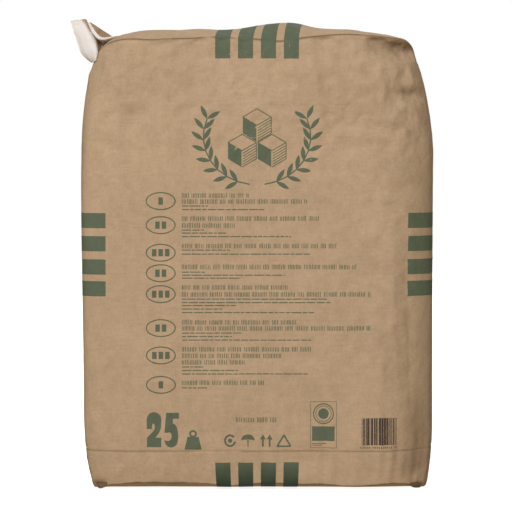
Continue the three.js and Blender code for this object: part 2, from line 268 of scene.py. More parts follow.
class Lattice:
    """The box's six grids with shared edges, and the sack's points on them."""

    def __init__(self, u, v, t):
        self.u, self.v, self.t = u, v, t
        nu, nv, nt = len(u) - 1, len(v) - 1, len(t) - 1
        i, j, k = np.arange(nu + 1), np.arange(nv + 1), np.arange(nt + 1)
        grids = {
            "front": (i[:, None], 0, k[None, :]),
            "right": (nu, j[:, None], k[None, :]),
            "back": (i[::-1, None], nv, k[None, :]),
            "left": (0, j[::-1, None], k[None, :]),
            "top": (i[:, None], j[None, :], nt),
            "bottom": (i[::-1, None], j[None, :], 0),
        }
        stacks = {name: np.stack(np.broadcast_arrays(*grid), -1) for name, grid in grids.items()}
        cells = np.concatenate([stack.reshape(-1, 3) for stack in stacks.values()])
        places, index = np.unique(cells, axis=0, return_inverse=True)
        index = index.reshape(-1)
        self.patch = {}
        start = 0
        for name, stack in stacks.items():
            size = stack.shape[0] * stack.shape[1]
            self.patch[name] = index[start:start + size].reshape(stack.shape[:2])
            start += size
        self.at = (u[places[:, 0]], v[places[:, 1]], t[places[:, 2]])
        self.faces = np.concatenate([quads(grid) for grid in self.patch.values()])
        walls = [self.patch[name][:-1] for name in ("front", "right", "back", "left")]
        self.ring = np.concatenate(walls)
        self.points = sack_points(*self.at)

    def round_the_tube(self):
        """Each vertex's place round the tube, from -GIRTH / 2 to GIRTH / 2, with 0 at the front's middle."""
        middle = self.points[self.ring[:, len(self.t) // 2]]
        steps = np.linalg.norm(np.roll(middle, -1, 0) - middle, axis=1)
        place = np.concatenate([[0], np.cumsum(steps)[:-1]]) * GIRTH / steps.sum()
        place -= place[len(self.u) // 2]
        place = (place + GIRTH / 2) % GIRTH - GIRTH / 2
        r = np.zeros(len(self.points))
        r[self.ring] = place[:, None]
        return r

    def normals(self):
        corners = self.points[self.faces]
        facing = np.cross(corners[:, 2] - corners[:, 0], corners[:, 3] - corners[:, 1])
        total = np.zeros_like(self.points)
        for corner in range(4):
            np.add.at(total, self.faces[:, corner], facing)
        return total / np.linalg.norm(total, axis=1, keepdims=True)

    def belt(self, back=False):
        """One grid that runs under the bottom, up the front (or the back) and over the top."""
        top, bottom = self.patch["top"], self.patch["bottom"]
        if back:
            return np.concatenate([bottom[:, :-1], self.patch["back"], top[::-1, ::-1][:, 1:]], 1)
        return np.concatenate([bottom[::-1, ::-1][:, :-1], self.patch["front"], top[:, 1:]], 1)

    def row_of_height(self, z):
        return len(self.v) - 1 + np.interp(z / CREASE_HEIGHT, self.t, np.arange(len(self.t)))

    def column_of_share(self, u):
        return np.interp(u, self.u, np.arange(len(self.u)))

    def face_place(self, x, z, back=False):
        """Column and row of the belt for points of the printed face, or of the back."""
        across = x / half_width(z, x)
        n = through(BACK_SQUARENESS if back else FRONT_SQUARENESS, z)
        u = across / (1 - abs(across) ** n) ** (1 / n)
        v = np.full_like(u, 1 if back else -1)
        t = z / CREASE_HEIGHT
        for _ in range(PLACE_ROUNDS):
            t = t + (z - wall_height(u, v, t)) / CREASE_HEIGHT
        return self.column_of_share(u), self.row_of_height(t * CREASE_HEIGHT)

    def end_place(self, across, past, top, back):
        """Column and row of the belt for points of an end: a share across, and one past its fold."""
        deep = np.broadcast_to(1 - past if back else past - 1, across.shape)
        share = rounding(across, deep, CREASE_HEIGHT if top else 0)
        rows = np.interp(deep / share, self.v, np.arange(len(self.v)))
        flaps, walls = len(self.v) - 1, len(self.t) - 1
        if back:
            rows = flaps - rows
        return self.column_of_share(across / share), flaps + walls + rows if top else flaps - rows


def quads(grid):
    """The four-cornered faces of a grid of vertex numbers."""
    return np.stack([grid[:-1, :-1], grid[1:, :-1], grid[1:, 1:], grid[:-1, 1:]], -1).reshape(-1, 4)


# Relief of the paper on the rolled-out tube: r runs round it from the middle of the front, z goes up

GIRTH = 1084
SEAM_AT = 490  # the glued seam at the back
SEAM_WIDTH = 34
SEAM_EDGE = 1.2
SEAM_FLAT = 0.3  # share of the seam's width before it slopes down
PLY = 0.7  # height of a pasted layer
CREASE_STRENGTH = 1.7
CREASE_SETS_IN = (-0.12, 0.25)  # shares of a crease's length, the same at both ends
PRESSED_DEPTH = 0.6
PRESSED_REACH = 1.0
PUCKER_DEPTH = 0.504
PUCKER_SHARES = (0.3, 1)
PUCKER_PHASES = (0, 6.28)
BOTTOM_PUCKERS = (30, 3, (17, 31, 43, 58, 71))  # reach, seed and waves round the tube
TOP_PUCKERS = (36, 4, (11, 17, 23, 31, 38))
CREASES = [  # start r and z, end r and z, height (valleys are negative), width
    (-150, 520, -90, 470, -0.9, 7), (-185, 500, -140, 430, -0.8, 8), (-120, 522, -60, 505, 0.7, 7),
    (-205, 410, -120, 396, -0.7, 6), (185, 450, 215, 441, 0.9, 3.5), (120, 518, 176, 489, 0.9, 8),
    (172, 500, 205, 465, -0.9, 7), (165, 300, 182, 60, 0.9, 7), (188, 300, 196, 110, -0.9, 8),
    (150, 60, 195, 12, 0.9, 6), (-150, 50, -190, 14, 0.8, 6), (60, 36, 110, 20, -0.6, 6),
    (-60, 26, -20, 38, 0.5, 5), (20, 470, 90, 455, 0.4, 9), (-40, 330, 60, 352, 0.35, 12),
    (-160, 453, -138, 443, -1.0, 5), (-197, 472, -150, 462, -0.6, 4), (-202, 446, -165, 456, 0.6, 4),
    (-190, 432, -150, 436, 0.5, 4), (60, 496, 96, 470, 0.5, 3.5), (80, 502, 121, 455, -0.5, 3.5),
    (98, 481, 152, 470, 0.5, 3.5), (112, 502, 152, 440, 0.6, 3.5), (68, 455, 132, 441, -0.5, 3.5),
    (130, 471, 162, 430, -0.6, 4), (112, 331, 131, 305, -0.7, 4), (119, 304, 157, 287, 0.7, 4),
    (153, 326, 153, 278, -0.8, 4), (105, 319, 119, 300, 0.6, 3), (172, 408, 206, 398, 0.6, 5),
]
SMALL_CREASES = [  # count, seed, lowest and highest place
    (34, 5, 380, 520), (30, 8, 10, 150), (26, 12, 150, 380),
]
SMALL_TURN = 0.9  # spread of their slant, in radians
SMALL_LENGTHS = (25, 80)
SMALL_HEIGHTS = (-0.6, 0.6)
SMALL_WIDTHS = (4, 9)

# Crinkles of paper that was handled, and where there are most of them
CRINKLE_DEPTH = 3.6
CRINKLE_MIDDLE = 0.25
CRINKLE_SIZES = ((24, 1.0, 1), (11, 0.55, 2))  # size, share of the depth, seed
CRINKLES_LEAST = 0.25
CRINKLES_HIGH = (0.75, 370, 440)  # more, by this share, from one height to another
CRINKLES_RIGHT = (0.45, (40, 120), (120, 200))  # and by this one over these x and z
CRINKLES_SIDE = (0.92, 176, 198)  # less, by this share, towards the side folds
NOISE_SHIFT = Vector((7.3, 3.1, 5.7))

# The narrow sides' triangles, and the flaps of the pasted ends
SIDE_FOLD_SLOPE = 1.05
SIDE_FOLD_HEIGHT = 0.9
SIDE_FOLD_REACH = 3
SIDE_FOLD_EDGE = 1.5
SIDE_FOLD_STEP = 0.35
SIDE_FOLD_CLEAR = (4, 22)  # they set in between these distances from the side's middle
NARROW_SIDE = (0.5, 0.85)  # shares of the half width
FLAP_EDGE = 0.3  # where the front's long flap ends, as a share of the half depth
FLAP_EDGE_REACH = 0.025
TUCK_SLANT = 0.8
TUCK_AT = (17, 19)  # where the tucked side stops, from the short edge
TUCK_HEIGHT = 0.49
END_WAVES = [(0.6, 17, 23, 0), (0.5, 9, -14, 2)]  # height, lengths along x and y, phase
BOTTOM_SHARE = 0.12  # of the ends' relief, pressed flat by the load
FOLD_CLEAR = 5  # the walls' relief sets in over this distance from the folds
BORDER_CLEAR = 0.06  # and that of the ends over this share

# Stains and painted shade: darker folds, a darker underside and darker patches on the printed face
STAINS_AND_PAINTED_SHADE = [  # x, z, reach along x, reach along z, strength, on the printed face. Most are painted shade: in the dents at the top right, down the right side, along the foot and under the corners; the rest darken smaller patches
    (166, 521, 27, 7, 0.55), (173, 470, 14, 4.5, 0.6), (-149, 449, 14, 9, 0.22), (178, 421, 5, 6, 0.4),
    (188, 60, 16, 46, 0.42), (186, 34, 18, 20, 0.45), (196, 300, 12, 150, 0.16),
    (100, 470, 60, 30, 0.12), (-120, 480, 60, 24, 0.12), (-186, 8, 10, 5, 0.9), (191, 5, 9, 4, 0.9),
    (-95, 8, 10, 3, 0.6), (-120, 9, 8, 2, 0.5),
]
# Painted shade under the bottom
UNDER_PAINTED_SHADE = 0.5
STAIN_AND_SHADE_FRONT = 20  # depth over which the stains and painted shade fade round the sides
# How far the painted shade reaches from the folds, and how dark it is on the pressed line
FOLD_SHADE_REACH = 1.1
PRESSED_LINE_SHADE = 0.45


def line_relief(r, z, line):
    r0, z0, r1, z1, height, width = line
    length = math.hypot(r1 - r0, z1 - z0)
    along = ((r - r0) * (r1 - r0) + (z - z0) * (z1 - z0)) / length
    off = ((r - r0) * (z1 - z0) - (z - z0) * (r1 - r0)) / length
    share = along / length
    ends = smooth(*CREASE_SETS_IN, share) * smooth(*CREASE_SETS_IN, 1 - share)
    return height * np.exp(-abs(off) / width) * ends


def seeded_creases(count, seed, low_z, high_z):
    """Creases at random places between two heights."""
    rng = np.random.default_rng(seed)
    lines = []
    for _ in range(count):
        r = rng.uniform(-GIRTH / 2, GIRTH / 2)
        z = rng.uniform(low_z, high_z)
        turn = rng.normal(0, SMALL_TURN) + rng.choice([0, math.pi / 2])
        length = rng.uniform(*SMALL_LENGTHS)
        end = (r + length * math.cos(turn), z + length * math.sin(turn))
        lines.append((r, z, *end, rng.uniform(*SMALL_HEIGHTS), rng.uniform(*SMALL_WIDTHS)))
    return lines


def puckers(r, distance, reach, seed, all_turns):
    """Short upright gathers that start at a fold."""
    rng = np.random.default_rng(seed)
    waves = 0
    for turns in all_turns:
        share = rng.uniform(*PUCKER_SHARES)
        phase = rng.uniform(*PUCKER_PHASES)
        waves = waves + share * np.sin(2 * math.pi * turns * r / GIRTH + phase)
    near = distance / reach
    return PUCKER_DEPTH * waves * near * np.exp(1 - near)


def wall_relief(r, z, top):
    """Height of the paper over the plain form on the walls, in millimetres."""
    height = np.zeros_like(r)
    small = [line for settings in SMALL_CREASES for line in seeded_creases(*settings)]
    for line in CREASES + small:
        for turn in (-1, 0, 1):
            height += CREASE_STRENGTH * line_relief(r + turn * GIRTH, z, line)
    height += puckers(r, abs(z), *BOTTOM_PUCKERS) + puckers(r, abs(top - z), *TOP_PUCKERS)
    height -= PRESSED_DEPTH * bell(z - PRESSED_LINE, PRESSED_REACH)
    seam = (r - SEAM_AT + GIRTH / 2) % GIRTH - GIRTH / 2
    slope = 1 - smooth(SEAM_FLAT, 1, seam / SEAM_WIDTH)
    return height + PLY * smooth(-SEAM_EDGE, SEAM_EDGE, seam) * slope


def crumple(points, size, seed):
    """Soft unevenness, from about -1 to 1."""
    return np.array([noise.noise(Vector(point) / size + seed * NOISE_SHIFT) for point in points])


def crinkles(points):
    """Sharp little folds, most of them near the top."""
    x, y, z = points.T
    folds = 0
    for size, share, seed in CRINKLE_SIZES:
        folds = folds + share * (CRINKLE_MIDDLE - abs(crumple(points, size, seed)))
    high_share, *high = CRINKLES_HIGH
    right_share, right, low = CRINKLES_RIGHT
    side_share, *side = CRINKLES_SIDE
    much = CRINKLES_LEAST + high_share * smooth(*high, z)
    much = much + right_share * smooth(*right, x) * smooth(*low, z)
    return CRINKLE_DEPTH * folds * much * (1 - side_share * smooth(*side, abs(x)))


def side_folds(y, z, top):
    """The triangles that the pasted ends leave on the narrow sides."""
    folds = 0
    for rise, depth in ((z, END_DEPTH), (top - z, TOP_DEPTH)):
        edge = abs(y) + rise * SIDE_FOLD_SLOPE - depth
        step = 1 - smooth(-SIDE_FOLD_EDGE, SIDE_FOLD_EDGE, edge)
        folds = folds + SIDE_FOLD_HEIGHT * np.exp(-abs(edge) / SIDE_FOLD_REACH) + SIDE_FOLD_STEP * step
    return folds * smooth(*SIDE_FOLD_CLEAR, abs(y))


def end_relief(x, y, across, deep):
    """The pasted end: one long flap over the other, the tucked short sides and a soft unevenness."""
    flap = PLY * (1 - smooth(FLAP_EDGE - FLAP_EDGE_REACH, FLAP_EDGE + FLAP_EDGE_REACH, deep))
    corner = (1 - abs(across)) * HALF_WIDTH - abs(y) * TUCK_SLANT
    tuck = TUCK_HEIGHT * (1 - smooth(*TUCK_AT, corner))
    wave = sum(rise * np.sin(x / along + y / aside + phase) for rise, along, aside, phase in END_WAVES)
    return flap + tuck + wave * (1 - deep**2)


def shape_sack():
    """The sack's fine grid with all its relief."""
    u = np.linspace(-1, 1, GRID_ACROSS)
    v = levels(2 * END_DEPTH, *GRID_DEEP) / END_DEPTH - 1
    v[len(v) // 2] = 0
    t = levels(CREASE_HEIGHT, *GRID_UP) / CREASE_HEIGHT
    sack = Lattice(u, v, t)
    r = sack.round_the_tube()
    x, y, z = sack.points.T
    u, v, t = sack.at
    wall = on_wall(u, v)
    high = rounding(u, v, CREASE_HEIGHT)
    across, deep = u * high, v * high
    top = top_height(across, deep)
    rise = wall_relief(r, z, top) + crinkles(sack.points)
    narrow = smooth(*NARROW_SIDE, abs(x) / HALF_WIDTH) * (abs(u) > ON_WALL)
    rise += narrow * side_folds(y, z, top)
    rise *= smooth(0, FOLD_CLEAR, z) * smooth(0, FOLD_CLEAR, top - z)
    on_top = t > 0.5
    border = np.minimum(1 - abs(u), 1 - abs(v))
    ends = end_relief(x, y, across, np.where(on_top, deep, -deep)) * smooth(0, BORDER_CLEAR, border)
    ends *= np.where(on_top, 1, BOTTOM_SHARE)
    sack.points += sack.normals() * np.where(wall, rise, ends)[:, None]
    sack.points[:, 2] = np.maximum(sack.points[:, 2], 0)
    return sack


def stain_and_shade_of(sack):
    """From 0 to 1 for each vertex: how much stains and painted shade darken the printed face, and painted
    shade the underside.
    """
    x, y, z = sack.points.T
    total = np.zeros_like(x)
    for place_x, place_z, reach_x, reach_z, strength in STAINS_AND_PAINTED_SHADE:
        apart = np.hypot((x - place_x) / reach_x, (z - place_z) / reach_z)
        total = np.maximum(total, strength * bell(apart, 1))
    return np.maximum(total * smooth(0, STAIN_AND_SHADE_FRONT, -y), UNDER_PAINTED_SHADE * (sack.at[2] == 0))


def fold_shade_of(sack):
    """From 0 to 1 for each vertex: how much painted shade darkens the paper along its folds and the pressed
    line.
    """
    u, v, t = sack.at
    wall = on_wall(u, v)
    inset = np.where(wall, 0, (1 - np.maximum(abs(u), abs(v))) * END_DEPTH)
    down = t * CREASE_HEIGHT
    fold = np.minimum(down, CREASE_HEIGHT - down) + inset
    pressed = PRESSED_LINE_SHADE * bell(sack.points[:, 2] - PRESSED_LINE, FOLD_SHADE_REACH)
    return np.maximum(bell(fold, FOLD_SHADE_REACH), pressed * wall)


def mesh_object(name, points, faces, material):
    mesh = bpy.data.meshes.new(name)
    mesh.from_pydata((points * MM).tolist(), [], faces.tolist())
    mesh.validate()
    mesh.polygons.foreach_set("use_smooth", [True] * len(mesh.polygons))
    mesh.materials.append(material)
    made = bpy.data.objects.new(name, mesh)
    bpy.context.scene.collection.objects.link(made)
    return made


# Materials

GRAIN = {  # scale, detail and stretch of each unevenness of the sheet
    "cloud": (14, 2), "blotch": (95, 3, (1, 1, 0.7)), "speck": (300, 2), "fibre": (900, 3, (1, 1, 0.22)),
    "weave": (420, 2, (0.12, 1, 1)), "crumple": (48, 4),
}
TONE_WEIGHTS = {"cloud": 0.34, "blotch": 0.4, "speck": 0.3, "fibre": 0.34, "weave": 0.28}
CREASE_BUMPS = [(26, 0.0045), (58, 0.002)]  # scale, distance in metres
FINE_BUMPS = [("crumple", 0.0012), ("fibre", 0.00012)]
CREASE_DETAIL = 1.5
CREASED_ABOVE = (0.36, 0.45, 0.35, 1.0)  # two heights in metres, and how creased it is at each
PAPER_SURFACE = {"Roughness": 0.86, "Specular_IOR_Level": 0.22}
PLAIN_SURFACE = {"Roughness": 0.8, "Specular_IOR_Level": 0.25}
FOLD_SHADE_BREAKS = (24, 2, (1, 0.2, 0.2))  # the noise that breaks up the painted shade along the folds
FOLD_SHADE_FROM = (0.38, 0.52)
FOLD_SHADE_STRENGTH = 0.9
STAIN_AND_SHADE_PATCHES = (60, 3)  # the noise that makes the stains and painted shade patchy, and its spread
STAIN_AND_SHADE_SPREAD = (0.3, 0.7, 0.75, 1.1)
FOOT_FADE = (0.006, 0.036, 0.9, 0.0)  # two heights, and how dark the ink is at each
KRAFT_DARK = (0.262, 0.184, 0.108, 1)
KRAFT_LIGHT = (0.535, 0.366, 0.226, 1)
# Colour of the painted shade along the folds
KRAFT_FOLD_SHADE = (0.10, 0.060, 0.030, 1)
# Colour for the stains and for the painted shade in the dents, down the right side and along the foot
KRAFT_STAIN_AND_SHADE = (0.105, 0.062, 0.030, 1)
INK_DARK = (0.064, 0.080, 0.045, 1)
INK_LIGHT = (0.122, 0.140, 0.086, 1)
INK_FOOT = (0.010, 0.024, 0.012, 1)
BAR_CODE_INK = (0.030, 0.019, 0.013, 1)
BAR_CODE_WORN = (0.080, 0.054, 0.036, 1)
BLEACHED_DARK = (0.62, 0.565, 0.525, 1)
BLEACHED_LIGHT = (0.79, 0.73, 0.69, 1)
WHITE = (1, 1, 1, 1)


def add_node(tree, kind, inputs=(), **settings):
    """A new node with its settings, and its inputs linked to sockets or set to values."""
    made = tree.nodes.new(kind)
    for key, value in settings.items():
        setattr(made, key, value)
    for key, value in dict(inputs).items():
        if isinstance(value, bpy.types.NodeSocket):
            tree.links.new(value, made.inputs[key])
        else:
            made.inputs[key].default_value = value
    return made


class Shader:
    """One material's nodes, made one after the other."""

    def __init__(self, name, **settings):
        self.material = bpy.data.materials.new(name)
        self.material.use_nodes = True
        self.tree = self.material.node_tree
        self.surface = self.tree.nodes["Principled BSDF"]
        for key, value in settings.items():
            self.surface.inputs[key.replace("_", " ")].default_value = value
        self.place = self.node("ShaderNodeTexCoord").outputs["Object"]

    def node(self, kind, inputs=(), **settings):
        return add_node(self.tree, kind, inputs, **settings)

    def noise(self, scale, detail, stretch=(1, 1, 1)):
        place = self.node("ShaderNodeMapping", {"Vector": self.place, "Scale": stretch}).outputs[0]
        inputs = {"Vector": place, "Scale": scale, "Detail": detail}
        return self.node("ShaderNodeTexNoise", inputs).outputs[0]

    def math(self, operation, a, b):
        return self.node("ShaderNodeMath", {0: a, 1: b}, operation=operation).outputs[0]

    def creases(self, scale):
        """A height with sharp valleys where a noise crosses its middle."""
        apart = self.math("SUBTRACT", self.noise(scale, CREASE_DETAIL), 0.5)
        return self.math("MAXIMUM", apart, self.math("MULTIPLY", apart, -1))

    def spread(self, value, low, high, to_low=0.0, to_high=1.0):
        inputs = {0: value, 1: low, 2: high, 3: to_low, 4: to_high}
        return self.node("ShaderNodeMapRange", inputs).outputs[0]

    def weighted(self, parts):
        """0.5 plus the sum of each value's distance from 0.5 times its weight."""
        total = 0.5
        for value, weight in parts:
            share = self.math("MULTIPLY", self.math("SUBTRACT", value, 0.5), weight)
            total = self.math("ADD", total, share)
        return total

    def mix(self, factor, a, b):
        inputs = {0: factor, 6: a, 7: b}
        return self.node("ShaderNodeMix", inputs, data_type="RGBA").outputs[2]

    def attribute(self, name):
        return self.node("ShaderNodeAttribute", attribute_name=name).outputs["Fac"]

    def height(self):
        return self.node("ShaderNodeSeparateXYZ", {0: self.place}).outputs[2]

    def finish(self, colour, bumps):
        """bumps: (height, distance in metres) pairs, from coarse to fine."""
        self.tree.links.new(colour, self.surface.inputs["Base Color"])
        normal = None
        for height, distance in bumps:
            inputs = {"Height": height, "Distance": distance, "Strength": 1.0}
            if normal:
                inputs["Normal"] = normal
            normal = self.node("ShaderNodeBump", inputs).outputs[0]
        self.tree.links.new(normal, self.surface.inputs["Normal"])
        return self.material


def paper_grain(shader):
    """The sheet's cloudy and fibrous tone, around 0.5, and its bumps."""
    grain = {name: shader.noise(*settings) for name, settings in GRAIN.items()}
    tone = shader.weighted([(grain[name], weight) for name, weight in TONE_WEIGHTS.items()])
    creased = shader.spread(shader.height(), *CREASED_ABOVE)
    bumps = []
    for scale, distance in CREASE_BUMPS:
        bumps.append((shader.math("MULTIPLY", shader.creases(scale), creased), distance))
    return tone, bumps + [(grain[name], distance) for name, distance in FINE_BUMPS]


def kraft_paper():
    shader = Shader("kraft_paper", **PAPER_SURFACE)
    tone, bumps = paper_grain(shader)
    clean = shader.mix(tone, KRAFT_DARK, KRAFT_LIGHT)
    # Painted shade along the folds and the pressed line, broken up by a noise
    broken = shader.spread(shader.noise(*FOLD_SHADE_BREAKS), *FOLD_SHADE_FROM)
    fold_shaded = shader.math("MULTIPLY", shader.attribute("fold_shade"), broken)
    fold_shaded_colour = shader.mix(shader.math("MULTIPLY", fold_shaded, FOLD_SHADE_STRENGTH), clean, KRAFT_FOLD_SHADE)
    # Stains and painted shade, made patchy by a noise
    patchy = shader.spread(shader.noise(*STAIN_AND_SHADE_PATCHES), *STAIN_AND_SHADE_SPREAD)
    stain_and_shade = shader.math("MULTIPLY", shader.attribute("stain_and_shade"), patchy)
    return shader.finish(shader.mix(stain_and_shade, fold_shaded_colour, KRAFT_STAIN_AND_SHADE), bumps)


def green_ink():
    shader = Shader("green_ink", **PLAIN_SURFACE)
    tone, bumps = paper_grain(shader)
    clean = shader.mix(tone, INK_DARK, INK_LIGHT)
    foot = shader.spread(shader.height(), *FOOT_FADE)
    return shader.finish(shader.mix(foot, clean, INK_FOOT), bumps)


def two_tones(name, dark, light):
    shader = Shader(name, **PLAIN_SURFACE)
    tone, bumps = paper_grain(shader)
    return shader.finish(shader.mix(tone, dark, light), bumps)


def bar_code_ink():
    return two_tones("bar_code_ink", BAR_CODE_INK, BAR_CODE_WORN)


def bleached_paper():
    return two_tones("bleached_paper", BLEACHED_DARK, BLEACHED_LIGHT)


# Print: thin sheets of ink that lie on the paper's own surface. The numbers in the drawings are places
# and widths in millimetres on the printed face, with x from its middle and z from the floor.

INK_LIFT = 0.12
INK_STEP = 1.8
BAR_WIDTH = 17.7
BAR_PITCH = 26.8
BAR_PLACES = [(step - 1.5) * BAR_PITCH for step in range(4)]
TOP_BARS_FROM = 507.5
TOP_BARS_LEAN = 9  # the flap over the top is pasted this far askew
BOTTOM_BARS_TO = 33.8
SIDE_BARS_FROM = 177  # from the middle, on the printed face
SIDE_BAR_HEIGHT = 17.7
SIDE_BARS = [309.2, 282.2, 255, 229.5]  # their lower edges
FLAP_SHARE = 0.28  # where the front's and the back's bars meet on an end, as a share of the half depth
BAR_COLUMNS, FLAP_ROWS, WALL_ROWS = 13, 90, 40
SIDE_BAR_ROWS, SIDE_BAR_COLUMNS = 12, 150

# The emblem
EMBLEM_HEIGHT = 416
EMBLEM_SCALE = 1.12
SPRAY_RADII = (56, 50)
SPRAY_PLACES = (262, 158, 9)  # from and to in degrees, count
STEM_WIDTH = 1.3  # of the emblem's stems
LEAF_LEAN = 0.75
LEAF_REACH = 15.5
LEAF_WIDTH = 4.6
LEAF_POINTS = 9
CUBES = [(-15.5, -6), (15.5, -6), (0, 20.5)]
CUBE_SIZE = 17
CUBE_SHARES = (0.87, 0.5)  # half width and half height of its top
CUBE_GAP = 0.7
CUBE_LINE, HATCH_LINE = 0.9, 0.8
HATCHES = 5

# The text
TEXT_SEED = 11
TICKS = (4, 13)  # in a word
TICK_WIDTHS = [0.65, 0.75, 0.9]
TICK_HEIGHTS = [0.8, 0.86, 0.92]
TICK_GAPS = (0.75, 1.5)
WORD_GAP = 2.4
LAST_WORD = 2  # no word starts closer to the line's end
DASHES = (3, 13)
DASH_GAP = 1.3
LAST_DASH = 1.5
TEXT_FROM = -87.7
TEXT_HEIGHT = 6.2
FINE_HEIGHT = 1.1
RING_X = -112.5
RING_RADII = (17.5, 10.5)
RING_WIDTH = 1.3
MARK_PITCH = 7.6
MARK_HALF_WIDTH, MARK_HALF_HEIGHT = 2.6, 4.2
LONE_LINE = (-24.6, 81.8, 23.3, 6.6)  # x, foot, end, height
# For each block: its ring's height, marks in the ring, lines of text and lines of small print (foot, end)
TEXT_BLOCKS = [
    (341, 1, [(344.8, -8.2), (337.8, 59.6)], [(334.7, -57.3), (330.5, 8.2)]),
    (312.9, 2, [(317.9, 72.4), (309.7, -25.7)], [(306.6, -62), (303.1, -36.3), (299, 39.7)]),
    (280.7, 3, [(285.8, 92.3)], [(283.2, -31.6), (278.5, 61.9)]),
    (256.8, 2, [(261.3, 116.9)], [(257.4, -60.8), (253.9, 32.7), (250.4, -19.9)]),
    (232.3, 3, [(237.4, 37.4), (229.2, 133.2)],
     [(225.9, 84.1), (221.8, 86.5), (218.3, -24.6), (214.2, -38.6), (210.1, 66.6)]),
    (192.5, 2, [(196.5, 46.7), (189.4, 133.2)], [(186.1, -16.4), (182, -29.3), (177.9, 63.1)]),
    (160.4, 3, [(164.9, 63.1), (157.3, 30.4), (149.7, -11.7)],
     [(146.4, -62), (142.3, -22.2), (138.2, 60.8)]),
    (125.9, 1, [(125.8, 8.2)], [(121.9, -57.3)]),
]

# The figures and the bar code
CURVE_POINTS, STRAIGHT_POINTS = 48, 14
LEAST_CIRCLE = 8  # steps round it
BAR_CODE_SEED = 23
BAR_CODE_X = (122.8, 163.5, 164.3)  # where it starts, where no bar starts any more, and its end
BAR_CODE_Z = (54.6, 86.4)
BAR_CODE_BARS = (0.62, 1, 6)  # one step's width, and from how many steps to below how many
BAR_CODE_GAPS = (0.5, 1, 3)
BAR_CODE_FIGURES = (121, 50.6, 164, 2.6)  # x, foot, end, height


def grid_between(left, right):
    """Points between two lines of points, close enough together to follow the paper."""
    gap = np.linalg.norm(right - left, axis=1).max()
    share = np.linspace(0, 1, max(2, int(math.ceil(gap / INK_STEP)) + 1))
    return left[:, None] * (1 - share[None, :, None]) + right[:, None] * share[None, :, None]


def dense(points):
    """The same line with points close together."""
    points = np.array(points, float)
    lengths = np.linalg.norm(np.diff(points, axis=0), axis=1)
    parts = []
    for start, end, length in zip(points, points[1:], lengths):
        count = max(1, int(math.ceil(length / INK_STEP)))
        parts.append(start + (end - start) * np.linspace(0, 1, count, endpoint=False)[:, None])
    return np.concatenate(parts + [points[-1:]])


def bar(x0, x1, z0, z1):
    return grid_between(dense([(x0, z0), (x0, z1)]), dense([(x1, z0), (x1, z1)]))


def ellipse(centre, radii, start=0.0, end=360.0):
    count = max(LEAST_CIRCLE, int(abs(end - start) / 360 * 2 * math.pi * max(radii) / INK_STEP))
    angle = np.radians(np.linspace(start, end, count + 1))
    return np.stack([centre[0] + radii[0] * np.cos(angle), centre[1] + radii[1] * np.sin(angle)], -1)


def ring(centre, radii, width, start=0.0, end=360.0):
    outer = ellipse(centre, radii, start, end)
    inner = centre + (outer - centre) * (1 - width / np.array(radii))
    return grid_between(outer, inner)


def stroke(points, width):
    """A band of even width along a line."""
    line = dense(points)
    along = np.gradient(line, axis=0)
    along /= np.linalg.norm(along, axis=1, keepdims=True)
    side = np.stack([-along[:, 1], along[:, 0]], -1) * width / 2
    return grid_between(line + side, line - side)


def leaf(base, tip, width):
    base, tip = np.array(base, float), np.array(tip, float)
    middle = (base + tip) / 2
    side = np.array([-(tip - base)[1], (tip - base)[0]])
    side *= width / np.linalg.norm(side)
    t = np.linspace(0, 1, LEAF_POINTS)[:, None]
    edges = []
    for sign in (1, -1):
        bend = middle + side * sign
        edges.append(base * (1 - t) ** 2 + 2 * bend * t * (1 - t) + tip * t**2)
    return grid_between(*edges)


def moved(grids, x, z, scale=1.0):
    return [grid * scale + np.array([x, z]) for grid in grids]


def spray(side):
    """A stem with pairs of leaves, curving up around the emblem."""
    angles = np.radians(np.linspace(*SPRAY_PLACES))
    stem = np.stack([np.cos(angles), np.sin(angles)], -1) * SPRAY_RADII
    grids = [stroke(stem, STEM_WIDTH)]
    for place, heading in zip(stem[1:], np.diff(stem, axis=0)):
        turn = math.atan2(heading[1], heading[0])
        for lean in (-LEAF_LEAN, LEAF_LEAN):
            tip = place + LEAF_REACH * np.array([math.cos(turn + lean), math.sin(turn + lean)])
            grids.append(leaf(place, tip, LEAF_WIDTH))
    return [grid * np.array([side, 1]) for grid in grids]


def sugar_cube(x, z):
    """A cube seen from a corner: a bare top, a solid left side and a hatched right side."""
    wide, high = (share * CUBE_SIZE for share in CUBE_SHARES)
    foot, middle_foot = -CUBE_SIZE, -high - CUBE_SIZE
    inner = [(-CUBE_GAP, -high), (-CUBE_GAP, middle_foot)]
    left = grid_between(dense([(-wide, 0), (-wide, foot)]), dense(inner))
    rim = [(-wide, 0), (0, high), (wide, 0), (0, -high), (-wide, 0)]
    edges = list(zip(rim, rim[1:])) + [((wide, 0), (wide, foot)), ((0, middle_foot), (wide, foot))]
    grids = [left] + [stroke(edge, CUBE_LINE) for edge in edges]
    for step in range(HATCHES):
        down = CUBE_SIZE * (step + 1) / (HATCHES + 1)
        grids.append(stroke([(CUBE_GAP, -high - down), (wide, -down)], HATCH_LINE))
    return moved(grids, x, z)


def emblem():
    """Three sugar cubes between two leafy sprays."""
    grids = spray(1) + spray(-1)
    for x, z in CUBES:
        grids += sugar_cube(x, z)
    return moved(grids, 0, EMBLEM_HEIGHT, EMBLEM_SCALE)


def text_line(rng, x, z, end, height):
    """A line of print as words of short upright ticks."""
    grids = []
    while x < end - LAST_WORD:
        for _ in range(rng.integers(*TICKS)):
            wide = rng.choice(TICK_WIDTHS)
            if x + wide > end:
                break
            grids.append(bar(x, x + wide, z, z + height * rng.choice(TICK_HEIGHTS)))
            x += wide + rng.uniform(*TICK_GAPS)
        x += WORD_GAP
    return grids


